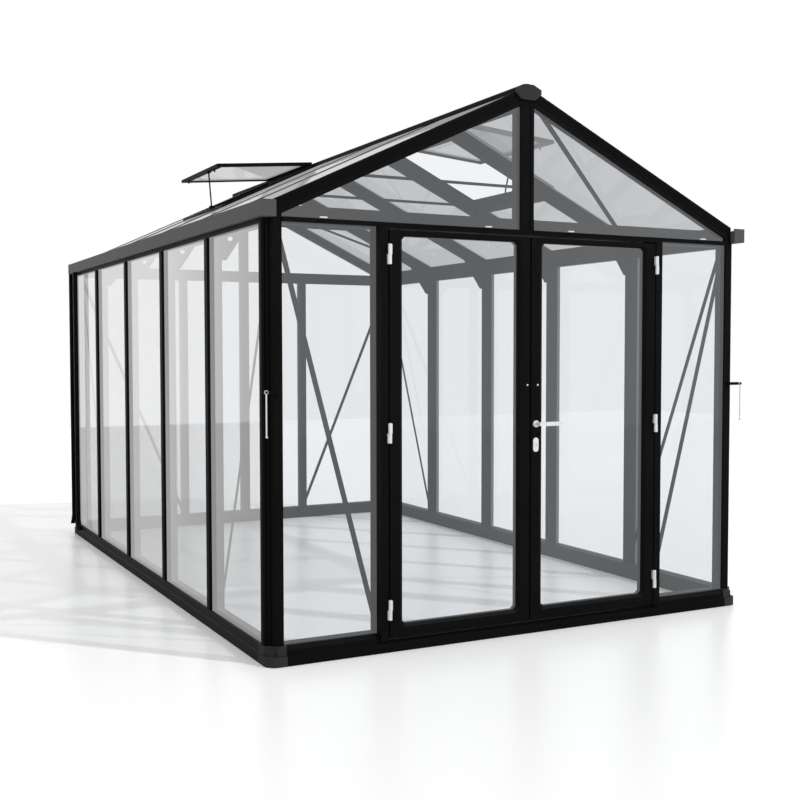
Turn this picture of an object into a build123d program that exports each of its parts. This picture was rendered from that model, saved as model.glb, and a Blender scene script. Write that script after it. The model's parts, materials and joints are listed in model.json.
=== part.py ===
from build123d import *
from math import atan, cos, radians, sin, tan
import os

os.makedirs("parts", exist_ok=True)

# Driving sizes of the greenhouse, in millimetres.
# Origin: middle of the footprint, on the ground. +X right, +Y back, +Z up. The doors face -Y.
base_width = 2800.0
base_length = 4330.0
base_height = 90.0
base_corner_radius = 55.0
threshold_height = 58.0
eave_height = 1998.0
roof_apex = 2738.0
roof_edge_lift = 92.974
side_bays = 5

# How far the walls stand in from the outside of the base
side_inset = 5.0
gable_inset = 30.0

# Glazing section shared by bars, posts, rafters and beams
frame_depth = 80.0
bar_width = 50.0
cap_thickness = 12.0
neck_width = 12.0
neck_depth = 12.0
glass_thickness = 4.0
glass_side_gap = 3.0
seat_gap = 0.3
roof_cap_thickness = 3.0
roof_neck_depth = 5.0

# Corner posts
post_chamfer = 42.0
post_front_reach = 84.0
post_side_reach = 72.0
post_slot = 16.0
flute_width = 10.0
flute_depth = 6.0
flute_spacing = 20.0

# Base rails and corner castings
ledge_height = 45.0
ledge_rise = 5.0
front_ledge = 10.0
side_ledge = 3.0
bevel_drop = 18.0
casting_front_arm = 95.0
casting_side_arm = 130.0
lug_half_width = 20.0
lug_top = 76.0
lug_thickness = 6.0

# Front opening and double doors
door_half_opening = 795.0
jamb_width = 41.0
jamb_slot = 12.0
jamb_proud = 4.0
leaf_gap = 7.0
meeting_gap = 9.0
leaf_thickness = 45.0
leaf_bottom = 66.0
leaf_head_gap = 7.0
stile_width = 55.0
top_rail_height = 27.0
bottom_rail_height = 49.0
bead_width = 14.0
bead_drop = 10.0
leaf_corner_gusset = 16.0
leaf_glass_seat = 8.0

# Hinges, handle, lock and hold-open hooks
hinge_radius = 9.0
hinge_length = 92.0
hinge_pin_radius = 4.0
hinge_pin_gap = 0.4
hinge_stand_off = 10.0
hinge_foot_width = 11.0
hinge_knuckle_gap = 1.0
hinge_low_inset = 138.0
hinge_top_inset = 115.0
handle_height = 1060.0
handle_inset = 27.0
rose_radius = 17.0
rose_thickness = 7.0
lever_length = 136.0
lever_thickness = 13.0
lever_height = 20.0
lever_stand_off = 48.0
spindle_radius = 8.0
spindle_gap = 0.4
lock_height = 955.0
lock_width = 32.0
lock_tall = 72.0
keyhole_radius = 5.0
hook_height = 1243.0
hook_length = 200.0
hook_bend = 14.0
hook_rod_radius = 3.2
hook_eye_radius = 9.0
hook_eye_thickness = 6.0
hook_pin_radius = 4.0
hook_pin_gap = 0.4
hook_eye_gap = 1.0
hook_tip_start = 4.8
hook_tip_radius = 3.52
hook_head_radius = 6.4
hook_head_thickness = 2.0
bracket_height = 16.0
bracket_thickness = 5.0
bracket_foot_inset = 63.0
bracket_foot_width = 14.0

# Rear wall
rear_mullion_offset = 517.0
centre_mullion_width = 60.0

# Tie beams, gutters and downpipes
tie_body_height = 85.0
tie_cap_lift = 9.0
tie_cap_height = 20.0
tie_cap_proud = 12.0
gutter_inset = 48.0
gutter_width = 70.0
gutter_lift = 25.0
gutter_depth = 73.0
gutter_back_height = 51.0
gutter_wall = 2.5
gutter_rear_inset = 40.0
gutter_cap_thickness = 8.0
gutter_cap_margin = 1.5
gutter_cap_chamfer = 4.0
roof_edge_inset = 20.0
wall_strip_lift = 4.0
pipe_radius = 16.0
pipe_side_inset = 250.0
pipe_rear_inset = 10.0
pipe_link_height = 22.0
pipe_foot = 105.0
pipe_collar = 3.0
collar_height = 22.0
shoe_length = 62.0

# Ridge, barge rafters and gable mullions
ridge_half_width = 75.0
ridge_shoulder = 28.0
ridge_web_half = 30.0
ridge_rise = 14.0
ridge_shoulder_drop = 5.0
ridge_lip_rise = 22.0
ridge_cap_thickness = 10.0
barge_depth = 72.0
barge_slot = 16.0
barge_width = 50.0
barge_rib_width = 4.0
barge_rib_depth = 4.0
barge_ribs = (16.0, 30.0, 44.0)
gable_mullion_width = 80.0
mullion_groove_width = 8.0
mullion_groove_offset = 14.0
mullion_groove_depth = 3.0

# Braces, collar ties and gussets
brace_width = 24.0
brace_thickness = 3.0
brace_inset = 14.0
brace_margin = 14.0
roof_brace_thickness = 12.0
tie_bar_height = 16.0
tie_bar_thickness = 8.0
tie_bar_drop = 355.0
gusset_thickness = 4.0
gusset_drop = 105.0
gusset_nose = 31.0
gusset_reach = 179.0
gusset_hole_radius = 14.0
gusset_hole_inset = 53.0
gusset_hole_lift = 8.0

# Roof vents
left_vent_bay = 4
right_vent_bay = 2
vent_sill_x = 700.0
vent_sill_width = 45.0
vent_head_x = 98.0
vent_head_inner_x = 78.0
curb_height = 10.0
curb_width = 44.0
sash_length = 687.0
sash_thickness = 20.0
sash_member = 42.0
sash_fall = 5.0
sash_hinge_x = 80.0
sash_lift = 6.517
sash_inset = 8.0
sash_glass_seat = 8.0
stay_radius = 5.0
stay_sash_x = 742.0
stay_bracket_half = 10.0
stay_bracket_height = 9.0
left_stay_shift = -160.0
right_stay_drop = 75.0
right_stay_lean = 4.0
stay_foot_rise = 14.0
stop_pin_radius = 5.0
stop_pin_length = 22.0
stop_pin_offset = 300.0

# Values worked out from the driving sizes
half_width = base_width / 2
front = -base_length / 2
rear = base_length / 2
wall_x = half_width - side_inset
wall_inner_x = wall_x - frame_depth
front_y = front + gable_inset
rear_y = rear - gable_inset
box_depth = frame_depth - cap_thickness - neck_depth
box_start = cap_thickness + neck_depth
glass_far = box_start - seat_gap
glass_near = glass_far - glass_thickness
roof_box_start = roof_cap_thickness + roof_neck_depth
roof_glass_far = roof_box_start - seat_gap
roof_glass_near = roof_glass_far - glass_thickness
glass_edge = neck_width / 2 + glass_side_gap
roof_edge_x = wall_x - roof_edge_inset
roof_edge_height = eave_height + roof_edge_lift
rise = (roof_apex - roof_edge_height) / roof_edge_x
slope = atan(rise)
bay = (rear_y - front_y) / side_bays
bar_lines = [front_y + bay * i for i in range(side_bays + 1)]
bar_positions = bar_lines[1:-1]
post_inner_x = wall_x - post_front_reach
gutter_bottom = eave_height + gutter_lift
post_top = gutter_bottom - seat_gap
bar_top = eave_height - seat_gap
jamb_outer_x = door_half_opening + jamb_width
leaf_outer_x = door_half_opening - leaf_gap
leaf_inner_x = meeting_gap / 2
leaf_top = eave_height - leaf_head_gap
leaf_front_y = front - jamb_proud
leaf_back_y = leaf_front_y + leaf_thickness
hinge_x = door_half_opening - leaf_gap / 2
hinge_y = leaf_front_y - hinge_stand_off
hinge_low = leaf_bottom + hinge_low_inset
hinge_high = leaf_top - hinge_top_inset
hinge_heights = (hinge_low, (hinge_low + hinge_high) / 2, hinge_high)
hook_x = half_width
bracket_foot_x = wall_x - bracket_foot_inset
handle_x = leaf_inner_x + handle_inset
glass_low = base_height - neck_depth + glass_side_gap
tie_cap_bottom = eave_height + tie_cap_lift
tie_neck_low = tie_cap_bottom + (tie_cap_height - neck_width) / 2
tie_neck_high = tie_neck_low + neck_width
tie_cap_top = tie_cap_bottom + tie_cap_height
tie_top = eave_height + tie_body_height
wall_strip_bottom = eave_height + wall_strip_lift
gutter_inner_x = wall_x - gutter_inset
gutter_outer_x = gutter_inner_x + gutter_width
gutter_front = front + gutter_cap_thickness
gutter_rear = rear - gutter_rear_inset
pipe_rear_x = half_width - pipe_rear_inset
tie_bar_middle = roof_apex - tie_bar_drop
gusset_low = eave_height - gusset_drop
gusset_reach_x = wall_inner_x - gusset_reach
gusset_hole_x = wall_inner_x - gusset_hole_inset
gusset_hole_z = eave_height + gusset_hole_lift
fall = radians(sash_fall)


def roof_z(x, depth=0.0):
    """Height of the roof surface beside the ridge, less a depth square to the slope."""
    return roof_apex - rise * abs(x) - depth / cos(slope)


ridge_low = roof_z(gable_mullion_width / 2, barge_depth)
sash_hinge_z = roof_z(sash_hinge_x, -curb_height) + sash_thickness / cos(fall) + sash_lift


def prism(plane, points, amount, mode=Mode.ADD):
    """A closed outline on a plane, pushed out by an amount."""
    with BuildSketch(plane) as outline:
        with BuildLine():
            Polyline(*points, close=True)
        make_face()
    extrude(outline.sketch, amount=amount, mode=mode)


def run_x(points, x0, x1, mode=Mode.ADD):
    """An outline in Y and Z that runs from x0 to x1."""
    prism(Plane.YZ.offset(x0), points, x1 - x0, mode)


def run_y(points, y0, y1, mode=Mode.ADD):
    """An outline in X and Z that runs from y0 to y1."""
    prism(Plane.XZ.offset(-y0), points, y0 - y1, mode)


def run_z(points, z0, z1, mode=Mode.ADD):
    """An outline in X and Y that runs from z0 to z1."""
    prism(Plane.XY.offset(z0), points, z1 - z0, mode)


def disc(centre, direction, radius, amount, mode=Mode.ADD):
    """A round bar that starts at a centre and runs in a direction."""
    with BuildSketch(Plane(origin=centre, z_dir=direction)) as outline:
        Circle(radius)
    extrude(outline.sketch, amount=amount, mode=mode)


def rectangle(a0, a1, b0, b1):
    """Corner points of a rectangle."""
    return [(a0, b0), (a1, b0), (a1, b1), (a0, b1)]


def flip(side, points):
    """The same outline on the left (-1) or the right (1)."""
    return [(side * a, b) for a, b in points]


def slope_band(side, x0, x1, d0, d1):
    """Outline in X and Z between two depths under the roof surface, upright at both ends."""
    upper = [(x0, roof_z(x0, d0)), (x1, roof_z(x1, d0))]
    lower = [(x1, roof_z(x1, d1)), (x0, roof_z(x0, d1))]
    return flip(side, upper + lower)


def end_y(end, distance):
    """Y at a distance in from the front (-1) or the rear (1) wall's outer face."""
    return front_y + distance if end < 0 else rear_y - distance


def glazing_bar(origin, x_dir, length, width=bar_width):
    """An upright bar with an inner box, a neck between the panes and an outer cap."""
    half = width / 2
    neck = neck_width / 2
    soft = cap_thickness / 6
    outline = [
        (-half, 0),
        (half, 0),
        (half, box_depth),
        (neck, box_depth),
        (neck, box_depth + neck_depth),
        (half, box_depth + neck_depth),
        (half, frame_depth - soft),
        (half - soft, frame_depth),
        (soft - half, frame_depth),
        (-half, frame_depth - soft),
        (-half, box_depth + neck_depth),
        (-neck, box_depth + neck_depth),
        (-neck, box_depth),
        (-half, box_depth),
    ]
    prism(Plane(origin=origin, x_dir=x_dir, z_dir=(0, 0, 1)), outline, length)


def brace(plane, start, finish, thickness=brace_thickness):
    """A flat bar between two points, cut parallel to the plane's second axis."""
    (a0, b0), (a1, b1) = start, finish
    along = abs(a1 - a0)
    length = ((a1 - a0) ** 2 + (b1 - b0) ** 2) ** 0.5
    cut = brace_width * length / along
    drop = cut if b0 > b1 else -cut
    prism(plane, [(a0, b0), (a1, b1 + drop), (a1, b1), (a0, b0 - drop)], thickness)


def save(builder, label):
    """Name a finished piece and write it."""
    builder.part.label = label
    export_step(builder.part, f"parts/{label}.step")


# Base rails
def rail_profile(inset, ledge):
    """Stepped sill section with a glass groove: distance in from the outside, and height."""
    groove_outer = inset + cap_thickness
    groove_inner = groove_outer + neck_depth
    floor = base_height - neck_depth
    return [
        (0, 0),
        (0, ledge_height),
        (ledge, ledge_height + ledge_rise),
        (ledge, base_height - bevel_drop),
        (inset, base_height),
        (groove_outer, base_height),
        (groove_outer, floor),
        (groove_inner, floor),
        (groove_inner, base_height),
        (inset + frame_depth, base_height),
        (inset + frame_depth, 0),
    ]


rail_end_x = half_width - casting_front_arm - seat_gap
rail_end_y = rear - casting_side_arm - seat_gap

with BuildPart() as base_front_rail:
    run_x([(front + d, z) for d, z in rail_profile(gable_inset, front_ledge)], -rail_end_x, rail_end_x)
    notch_x = jamb_outer_x + seat_gap
    run_x(
        rectangle(front - 1, front_y + frame_depth + 1, threshold_height, base_height + 1),
        -notch_x,
        notch_x,
        Mode.SUBTRACT,
    )
save(base_front_rail, "base_front_rail")

with BuildPart() as base_rear_rail:
    run_x([(rear - d, z) for d, z in rail_profile(gable_inset, front_ledge)], -rail_end_x, rail_end_x)
save(base_rear_rail, "base_rear_rail")

with BuildPart() as base_side_rails:
    for side in (-1, 1):
        points = [(half_width - d, z) for d, z in rail_profile(side_inset, side_ledge)]
        run_y(flip(side, points), -rail_end_y, rail_end_y)
save(base_side_rails, "base_side_rails")


def corner_casting(side, end):
    """Rounded L-shaped casting that joins two rails and carries a post and its lug."""
    inner = side_inset + frame_depth
    inner_v = gable_inset + frame_depth
    radius = base_corner_radius
    bulge = radius * (1 - cos(radians(45)))

    def at(u, v):
        return (side * (half_width - u), end * (rear - v))

    with BuildSketch(Plane.XY) as foot:
        with BuildLine():
            ThreePointArc(at(radius, 0), at(bulge, bulge), at(0, radius))
            Polyline(
                at(0, radius),
                at(0, casting_side_arm),
                at(inner, casting_side_arm),
                at(inner, inner_v),
                at(casting_front_arm, inner_v),
                at(casting_front_arm, 0),
                at(radius, 0),
            )
        make_face()
    extrude(foot.sketch, amount=ledge_height)
    cut_sum = post_chamfer + gable_inset + side_inset - lug_thickness * 2
    upper = [
        at(casting_front_arm, front_ledge),
        at(cut_sum - front_ledge, front_ledge),
        at(side_ledge, cut_sum - side_ledge),
        at(side_ledge, casting_side_arm),
        at(inner, casting_side_arm),
        at(inner, inner_v),
        at(casting_front_arm, inner_v),
    ]
    run_z(upper, ledge_height, base_height)
    middle = (cut_sum - front_ledge + side_ledge) / 2
    half = lug_half_width / 2 ** 0.5
    low = middle - lug_thickness / 2 ** 0.5
    far = cut_sum - middle
    far_low = far - lug_thickness / 2 ** 0.5
    lug = [
        at(middle + half, far - half),
        at(low + half, far_low - half),
        at(low - half, far_low + half),
        at(middle - half, far + half),
    ]
    run_z(lug, ledge_height, lug_top)
    floor = base_height - neck_depth
    slot_v = gable_inset + cap_thickness
    slot_u = side_inset + cap_thickness
    front_slot = [
        at(casting_front_arm + 1, slot_v),
        at(side_inset + post_front_reach - post_slot, slot_v),
        at(side_inset + post_front_reach - post_slot, slot_v + neck_depth),
        at(casting_front_arm + 1, slot_v + neck_depth),
    ]
    side_slot = [
        at(slot_u, gable_inset + post_side_reach - post_slot),
        at(slot_u, casting_side_arm + 1),
        at(slot_u + neck_depth, casting_side_arm + 1),
        at(slot_u + neck_depth, gable_inset + post_side_reach - post_slot),
    ]
    run_z(front_slot, floor, base_height + 1, Mode.SUBTRACT)
    run_z(side_slot, floor, base_height + 1, Mode.SUBTRACT)


with BuildPart() as base_corner_castings:
    for side in (-1, 1):
        for end in (-1, 1):
            corner_casting(side, end)
save(base_corner_castings, "base_corner_castings")


# Corner posts with a fluted bevel
def corner_post(side, end):
    """Post in plan: bevelled and fluted outside, slots for both walls' glass inside."""
    def at(u, v):
        return (side * (wall_x - u), end * (rear_y - v))

    root = 2 ** 0.5
    middle = post_chamfer / 2
    fluted = []
    for centre in (-flute_spacing / 2, flute_spacing / 2):
        for shift, deep in (
            (-flute_width / 2, 0.0),
            (-flute_width / 2, flute_depth),
            (flute_width / 2, flute_depth),
            (flute_width / 2, 0.0),
        ):
            along = (centre + shift) / root
            fluted.append(at(middle - along + deep / root, middle + along + deep / root))
    outline = [at(post_chamfer, 0)] + fluted + [
        at(0, post_chamfer),
        at(0, post_side_reach),
        at(cap_thickness, post_side_reach),
        at(cap_thickness, post_side_reach - post_slot),
        at(box_start, post_side_reach - post_slot),
        at(box_start, frame_depth),
        at(post_front_reach, frame_depth),
        at(post_front_reach, box_start),
        at(post_front_reach - post_slot, box_start),
        at(post_front_reach - post_slot, cap_thickness),
        at(post_front_reach, cap_thickness),
        at(post_front_reach, 0),
    ]
    run_z(outline, base_height, post_top)


with BuildPart() as front_posts:
    for side in (-1, 1):
        corner_post(side, -1)
save(front_posts, "front_posts")

with BuildPart() as rear_posts:
    for side in (-1, 1):
        corner_post(side, 1)
save(rear_posts, "rear_posts")


# Side wall bars
def side_bars(side):
    """The four upright bars of one side wall, their caps run on to the wall's top strip."""
    for y in bar_positions:
        glazing_bar((side * wall_inner_x, y, base_height), (0, -side, 0), bar_top - base_height)
        cap = rectangle(wall_x - cap_thickness, wall_x, y - bar_width / 2, y + bar_width / 2)
        run_z(flip(side, cap), bar_top, wall_strip_bottom - seat_gap)


with BuildPart() as left_wall_bars:
    side_bars(-1)
save(left_wall_bars, "left_wall_bars")

with BuildPart() as right_wall_bars:
    side_bars(1)
save(right_wall_bars, "right_wall_bars")

# Door jambs and head
with BuildPart() as front_jambs:
    jamb_back = front_y + frame_depth
    slot_y = front_y + cap_thickness
    for side in (-1, 1):
        outline = [
            (door_half_opening, leaf_front_y),
            (jamb_outer_x, leaf_front_y),
            (jamb_outer_x, slot_y),
            (jamb_outer_x - jamb_slot, slot_y),
            (jamb_outer_x - jamb_slot, slot_y + neck_depth),
            (jamb_outer_x, slot_y + neck_depth),
            (jamb_outer_x, jamb_back),
            (door_half_opening, jamb_back),
        ]
        run_z(flip(side, outline), threshold_height, bar_top)
save(front_jambs, "front_jambs")

# Rear wall mullions
with BuildPart() as rear_mullions:
    for x, width in (
        (-rear_mullion_offset, bar_width),
        (0.0, centre_mullion_width),
        (rear_mullion_offset, bar_width),
    ):
        glazing_bar((x, end_y(1, frame_depth), base_height), (1, 0, 0), bar_top - base_height, width)
        cap = rectangle(x - width / 2, x + width / 2, end_y(1, cap_thickness), end_y(1, 0))
        run_z(cap, bar_top, tie_cap_bottom - seat_gap)
    low = tie_cap_top + seat_gap
    half = centre_mullion_width / 2
    foot_z = tie_top + seat_gap
    glazing_bar(
        (0, end_y(1, frame_depth), foot_z),
        (1, 0, 0),
        ridge_low - seat_gap - foot_z,
        centre_mullion_width,
    )
    run_z(rectangle(-half, half, end_y(1, cap_thickness), end_y(1, 0)), low, foot_z)
    neck = neck_width / 2
    run_z(rectangle(-neck, neck, end_y(1, box_start - seat_gap), end_y(1, cap_thickness)), low, foot_z)
save(rear_mullions, "rear_mullions")


# Tie beams across the front and the rear at the eaves
def tie_beam(end):
    """Body behind the glass, a neck between the panes and a proud outer cap."""
    reach = post_inner_x - seat_gap
    corner_z = roof_z(reach, barge_depth) - seat_gap * 2
    corner_x = (roof_apex - barge_depth / cos(slope) - tie_top) / rise - 1
    body = [
        (-reach, eave_height),
        (reach, eave_height),
        (reach, corner_z),
        (corner_x, tie_top),
        (-corner_x, tie_top),
        (-reach, corner_z),
    ]
    run_y(body, end_y(end, frame_depth), end_y(end, box_start))
    run_y(rectangle(-reach, reach, tie_neck_low, tie_neck_high), end_y(end, box_start), end_y(end, 0))
    cap = rectangle(-reach, reach, tie_cap_bottom, tie_cap_top)
    run_y(cap, end_y(end, 0), end_y(end, -tie_cap_proud))


with BuildPart() as front_tie_beam:
    tie_beam(-1)
    slot_y = front_y + cap_thickness
    run_x(rectangle(leaf_front_y, slot_y, eave_height, tie_cap_bottom), -jamb_outer_x, jamb_outer_x)
    head_reach = jamb_outer_x - jamb_slot
    run_x(rectangle(slot_y, end_y(-1, box_start), eave_height, tie_neck_low), -head_reach, head_reach)
save(front_tie_beam, "front_tie_beam")

with BuildPart() as rear_tie_beam:
    tie_beam(1)
save(rear_tie_beam, "rear_tie_beam")

# Gable mullion over the doors
with BuildPart() as front_gable_mullion:
    body_low = tie_top + seat_gap
    cap_low = tie_cap_top + seat_gap
    half = gable_mullion_width / 2
    neck = neck_width / 2
    glazing_bar(
        (0, end_y(-1, frame_depth), body_low),
        (-1, 0, 0),
        ridge_low - seat_gap - body_low,
        gable_mullion_width,
    )
    run_z(rectangle(-half, half, end_y(-1, 0), end_y(-1, cap_thickness)), cap_low, body_low)
    neck_band = rectangle(-neck, neck, end_y(-1, cap_thickness), end_y(-1, box_start - seat_gap))
    run_z(neck_band, cap_low, body_low)
    groove = rectangle(
        mullion_groove_offset - mullion_groove_width / 2,
        mullion_groove_offset + mullion_groove_width / 2,
        front_y - 1,
        front_y + mullion_groove_depth,
    )
    run_z(groove, cap_low - 1, ridge_low + 1, Mode.SUBTRACT)
save(front_gable_mullion, "front_gable_mullion")


# Barge rafters, ribbed outside
def barge_rafter(side, end):
    """Sloping edge beam: slots for the gable glass below and the roof glass inside, and a foot."""
    x0 = ridge_web_half + seat_gap
    x1 = gutter_inner_x - seat_gap
    neck_y = barge_width - post_slot
    run_y(slope_band(side, x0, x1, 0, barge_depth), end_y(end, 0), end_y(end, cap_thickness))
    neck_band = slope_band(side, x0, x1, 0, barge_depth - barge_slot)
    run_y(neck_band, end_y(end, cap_thickness), end_y(end, box_start))
    run_y(slope_band(side, x0, x1, 0, barge_depth), end_y(end, box_start), end_y(end, neck_y))
    run_y(slope_band(side, x0, x1, 0, roof_cap_thickness), end_y(end, neck_y), end_y(end, barge_width))
    run_y(slope_band(side, x0, x1, roof_box_start, barge_depth), end_y(end, neck_y), end_y(end, barge_width))
    foot = flip(side, [
        (post_inner_x, post_top + seat_gap),
        (x1, post_top + seat_gap),
        (x1, roof_z(x1, barge_slot * 2)),
        (post_inner_x, roof_z(post_inner_x, barge_slot * 2)),
    ])
    run_y(foot, end_y(end, 0), end_y(end, neck_y))
    for depth in barge_ribs:
        groove = slope_band(side, x0 - 1, x1 + 1, depth, depth + barge_rib_width)
        run_y(groove, end_y(end, -1), end_y(end, barge_rib_depth), Mode.SUBTRACT)


with BuildPart() as front_barge_rafters:
    for side in (-1, 1):
        barge_rafter(side, -1)
save(front_barge_rafters, "front_barge_rafters")

with BuildPart() as rear_barge_rafters:
    for side in (-1, 1):
        barge_rafter(side, 1)
save(rear_barge_rafters, "rear_barge_rafters")


# Roof rafters
def roof_rafters(side):
    """Cap, neck and box under the roof surface; the cap and neck run out over the gutter."""
    x0 = ridge_web_half + seat_gap
    for y in bar_positions:
        half = bar_width / 2
        neck = neck_width / 2
        run_y(slope_band(side, x0, roof_edge_x, 0, roof_cap_thickness), y - half, y + half)
        run_y(slope_band(side, x0, roof_edge_x, roof_cap_thickness, roof_box_start), y - neck, y + neck)
        run_y(slope_band(side, x0, wall_inner_x - seat_gap, roof_box_start, frame_depth), y - half, y + half)


with BuildPart() as left_roof_rafters:
    roof_rafters(-1)
save(left_roof_rafters, "left_roof_rafters")

with BuildPart() as right_roof_rafters:
    roof_rafters(1)
save(right_roof_rafters, "right_roof_rafters")

# Ridge beam and its end caps
ridge_outline = [
    (ridge_shoulder, roof_apex + ridge_rise - ridge_shoulder_drop),
    (ridge_half_width, roof_z(ridge_half_width) + ridge_lip_rise),
    (ridge_half_width, roof_z(ridge_half_width) + seat_gap * 2),
    (ridge_web_half, roof_z(ridge_web_half) + seat_gap * 2),
    (ridge_web_half, ridge_low),
]
ridge_full = [(0, roof_apex + ridge_rise)] + ridge_outline
ridge_full = ridge_full + [(-x, z) for x, z in reversed(ridge_outline)]

with BuildPart() as ridge_beam:
    run_y(ridge_full, front_y, rear_y)
save(ridge_beam, "ridge_beam")

with BuildPart() as ridge_end_caps:
    cap_half = [
        (ridge_shoulder, roof_apex + ridge_rise - ridge_shoulder_drop),
        (ridge_half_width, roof_z(ridge_half_width) + ridge_lip_rise),
        (ridge_half_width, roof_z(ridge_half_width)),
        (gable_mullion_width / 2, ridge_low + barge_slot * 2),
    ]
    cap_outline = cap_half + [(-x, z) for x, z in reversed(cap_half)]
    for end in (-1, 1):
        run_y(cap_outline, end_y(end, -seat_gap), end_y(end, -seat_gap - ridge_cap_thickness))
save(ridge_end_caps, "ridge_end_caps")

# Eave beams over the side walls
with BuildPart() as eave_beams:
    beam_end = rear_y - frame_depth - seat_gap
    upper_end = rear_y - barge_width - seat_gap
    upright_x = gutter_inner_x - seat_gap
    roof_seat = roof_box_start + seat_gap
    shelf = wall_x - box_start
    for side in (-1, 1):
        beam = [
            (wall_inner_x, eave_height),
            (shelf, eave_height),
            (shelf, wall_strip_bottom + cap_thickness),
            (shelf + neck_depth, wall_strip_bottom + cap_thickness),
            (shelf + neck_depth, wall_strip_bottom),
            (wall_x, wall_strip_bottom),
            (wall_x, post_top),
            (upright_x, post_top),
            (upright_x, roof_z(upright_x, roof_seat)),
            (wall_inner_x, roof_z(wall_inner_x, roof_seat)),
        ]
        run_y(flip(side, beam), -beam_end, beam_end)
        upper = [
            (wall_inner_x, post_top + seat_gap),
            (upright_x, post_top + seat_gap),
            (upright_x, roof_z(upright_x, roof_seat)),
            (wall_inner_x, roof_z(wall_inner_x, roof_seat)),
        ]
        run_y(flip(side, upper), -upper_end, upper_end)
save(eave_beams, "eave_beams")


# Gutters and their end caps
def gutter(side):
    """Open channel outside the wall; the roof's edge hangs over its low inner wall."""
    inside_x = gutter_inner_x + gutter_wall
    outside_x = gutter_outer_x - gutter_wall
    floor = gutter_bottom + gutter_wall
    channel = [
        (gutter_inner_x, gutter_bottom),
        (gutter_outer_x, gutter_bottom),
        (gutter_outer_x, gutter_bottom + gutter_depth),
        (outside_x, gutter_bottom + gutter_depth),
        (outside_x, floor),
        (inside_x, floor),
        (inside_x, gutter_bottom + gutter_back_height),
        (gutter_inner_x, gutter_bottom + gutter_back_height),
    ]
    run_y(flip(side, channel), gutter_front, gutter_rear)


with BuildPart() as left_gutter:
    gutter(-1)
save(left_gutter, "left_gutter")

with BuildPart() as right_gutter:
    gutter(1)
save(right_gutter, "right_gutter")

with BuildPart() as gutter_end_caps:
    cap_x0 = gutter_inner_x
    cap_x1 = gutter_outer_x + gutter_cap_margin
    cap_z0 = gutter_bottom
    cap_z1 = gutter_bottom + gutter_depth + gutter_cap_margin
    plate = [
        (cap_x0, cap_z0),
        (cap_x1, cap_z0),
        (cap_x1, cap_z1),
        (cap_x0 + gutter_cap_chamfer, cap_z1),
        (cap_x0, cap_z1 - gutter_cap_chamfer),
    ]
    for side in (-1, 1):
        for y, step in ((gutter_front - seat_gap, -1), (gutter_rear + seat_gap, 1)):
            run_y(flip(side, plate), y, y + step * (gutter_cap_thickness - seat_gap))
save(gutter_end_caps, "gutter_end_caps")


# Downpipes with shoes at the rear left corner
def downpipe(x, y, top, way):
    """Round pipe with a collar and a shoe that turns out at 45 degrees."""
    disc((x, y, pipe_foot), (0, 0, 1), pipe_radius, top - pipe_foot)
    disc((x, y, pipe_foot), (0, 0, 1), pipe_radius + pipe_collar, collar_height)
    slant = (way[0] / 2 ** 0.5, way[1] / 2 ** 0.5, -1 / 2 ** 0.5)
    with BuildSketch(Plane.XY.offset(pipe_foot)) as mouth:
        with Locations((x, y)):
            Circle(pipe_radius + pipe_collar)
    extrude(mouth.sketch, amount=shoe_length, dir=slant)


with BuildPart() as downpipes:
    pipe_side_x = half_width + pipe_radius
    downpipe(-pipe_side_x, rear_y - pipe_side_inset, gutter_bottom - seat_gap, (0, -1))
    rear_pipe_y = rear + pipe_radius
    link_z = gutter_bottom + pipe_link_height
    downpipe(-pipe_rear_x, rear_pipe_y, link_z + pipe_radius, (0, 1))
    link = rear_pipe_y - gutter_rear - gutter_cap_thickness - seat_gap
    disc((-pipe_rear_x, rear_pipe_y, link_z), (0, -1, 0), pipe_radius, link)
save(downpipes, "downpipes")

# Flat braces across the corners of the walls
with BuildPart() as wall_braces:
    high = eave_height - brace_margin
    low = base_height + brace_margin
    plane_y = front_y + box_start + brace_inset
    for side in (-1, 1):
        outer = post_inner_x - seat_gap
        jamb = jamb_outer_x + seat_gap
        brace(Plane.XZ.offset(-plane_y), (side * outer, high), (side * jamb, low))
        mullion = rear_mullion_offset + bar_width / 2 + seat_gap
        brace(Plane.XZ.offset(plane_y), (side * outer, high), (side * mullion, low))
        plane_x = side * (wall_inner_x + brace_inset)
        for end in (-1, 1):
            corner = end * (rear_y - frame_depth - seat_gap)
            bar = end * (bar_positions[-1] + bar_width / 2 + seat_gap)
            brace(Plane.YZ.offset(plane_x), (corner, high), (bar, low))
save(wall_braces, "wall_braces")

# Flat braces under the end bays of the roof
with BuildPart() as roof_braces:
    eave_run = (wall_inner_x - brace_margin) / cos(slope)
    ridge_run = (ridge_web_half + brace_margin * 2) / cos(slope)
    for side in (-1, 1):
        # Under the slope: the plane's first axis runs along the house, its second down the slope
        normal = (side * sin(slope), 0, cos(slope))
        sink = roof_box_start + brace_inset * 2
        origin = (-normal[0] * sink, 0, roof_apex - normal[2] * sink)
        slope_plane = Plane(origin=origin, x_dir=(0, -side, 0), z_dir=normal)
        for end in (-1, 1):
            corner = -side * end * (rear_y - barge_width - seat_gap)
            bar = -side * end * (bar_positions[-1] + bar_width / 2 + seat_gap)
            brace(slope_plane, (corner, ridge_run), (bar, eave_run), roof_brace_thickness)
save(roof_braces, "roof_braces")

# Flat collar ties across the house between the rafters
with BuildPart() as collar_ties:
    under = frame_depth + seat_gap
    low = tie_bar_middle - tie_bar_height / 2
    high = tie_bar_middle + tie_bar_height / 2
    low_x = (roof_z(0, under) - low) / rise
    high_x = (roof_z(0, under) - high) / rise
    for y in bar_positions:
        tie = [(-low_x, low), (low_x, low), (high_x, high), (-high_x, high)]
        run_y(tie, y - tie_bar_thickness / 2, y + tie_bar_thickness / 2)
save(collar_ties, "collar_ties")

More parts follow.
